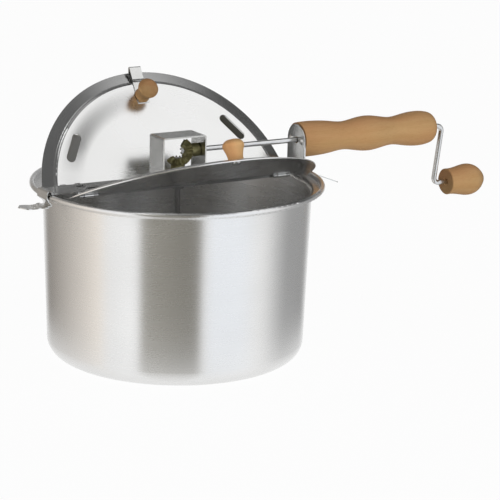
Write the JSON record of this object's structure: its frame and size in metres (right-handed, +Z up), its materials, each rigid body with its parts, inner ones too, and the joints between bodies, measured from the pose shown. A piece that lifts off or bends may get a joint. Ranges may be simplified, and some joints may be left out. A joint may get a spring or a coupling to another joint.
{
  "type": "stovetop popcorn popper",
  "caption": "Aluminium stovetop popcorn popper with a hinged split lid, a geared crank in a turned wooden handle and a wire stirrer.",
  "frame": {"origin": "centre of the pot's flat base, on the surface it stands on", "axes": "+Z up, +X along the lid bridge towards the handle, +Y towards the rear lid half"},
  "size_m": [0.4657, 0.2484, 0.2341],
  "materials": {
    "pot_aluminium": "brushed",
    "polished_aluminium": "polished",
    "bright_steel": "satin",
    "plated_rod": "polished",
    "dark_gear_metal": "sintered, dark",
    "wood": "oiled"
  },
  "bodies": {
    "frame": {"pot": "pot_aluminium", "bridge": "polished_aluminium", "lid_hinge_pins": "bright_steel", "clip_hinge_pins": "bright_steel", "gear_bracket": "bright_steel", "gear_bracket_rivets": "bright_steel", "handle_bracket": "bright_steel", "handle_bracket_rivets": "bright_steel", "handle": "wood", "handle_screws": "bright_steel", "shaft_bush": "bright_steel"},
    "rear_half": {"rear_lid": "polished_aluminium", "rear_lid_knob": "wood", "rear_knob_screw": "bright_steel", "rear_lid_catch": "bright_steel"},
    "front_half": {"front_lid": "polished_aluminium", "front_lid_knob": "wood", "front_knob_screw": "bright_steel"},
    "crank": {"crank_rod": "plated_rod", "crank_gear": "dark_gear_metal", "crank_gear_screw": "dark_gear_metal", "knob_push_nut": "bright_steel"},
    "crank_grip": {"crank_knob": "wood"},
    "stirrer": {"stirrer_gear": "dark_gear_metal", "stirrer_gear_screw": "dark_gear_metal", "stirrer_shaft": "plated_rod", "stirrer_hub": "bright_steel", "stirrer_wire_long": "plated_rod", "stirrer_wire_short": "plated_rod", "shaft_collar": "bright_steel"},
    "left_latch": {"left_clip": "bright_steel"},
    "right_latch": {"right_clip": "bright_steel"}
  },
  "joints": [
    {"name": "rear_lid_hinge", "type": "hinge", "parent": "frame", "child": "rear_half", "pos_m": [0, 0.0172, 0.14825], "axis": [1, 0, 0], "range_deg": [-54.2, 25.8]},
    {"name": "front_lid_hinge", "type": "hinge", "parent": "frame", "child": "front_half", "pos_m": [0, -0.0172, 0.14825], "axis": [-1, 0, 0], "range_deg": [-24.5, 55.5]},
    {"name": "crank_spin", "type": "hinge", "parent": "frame", "child": "crank", "pos_m": [0.1182, 0, 0.1741], "axis": [1, 0, 0], "continuous": true},
    {"name": "crank_knob_spin", "type": "hinge", "parent": "crank", "child": "crank_grip", "pos_m": [0.2995, 0, 0.1215], "axis": [1, 0, 0], "continuous": true},
    {"name": "stirrer_spin", "type": "hinge", "parent": "frame", "child": "stirrer", "pos_m": [0, 0, 0.1503], "axis": [0, 0, 1], "continuous": true},
    {"name": "left_clip_hinge", "type": "hinge", "parent": "frame", "child": "left_latch", "pos_m": [-0.1204, 0, 0.1516], "axis": [0, 1, 0], "range_deg": [0, 32], "stiffness_Nm_per_rad": 0.02},
    {"name": "right_clip_hinge", "type": "hinge", "parent": "frame", "child": "right_latch", "pos_m": [0.1204, 0, 0.1516], "axis": [0, -1, 0], "range_deg": [0, 32], "stiffness_Nm_per_rad": 0.02}
  ],
  "couplings": [
    {"joint": "stirrer_spin", "follows": "crank_spin", "ratio": 1}
  ]
}
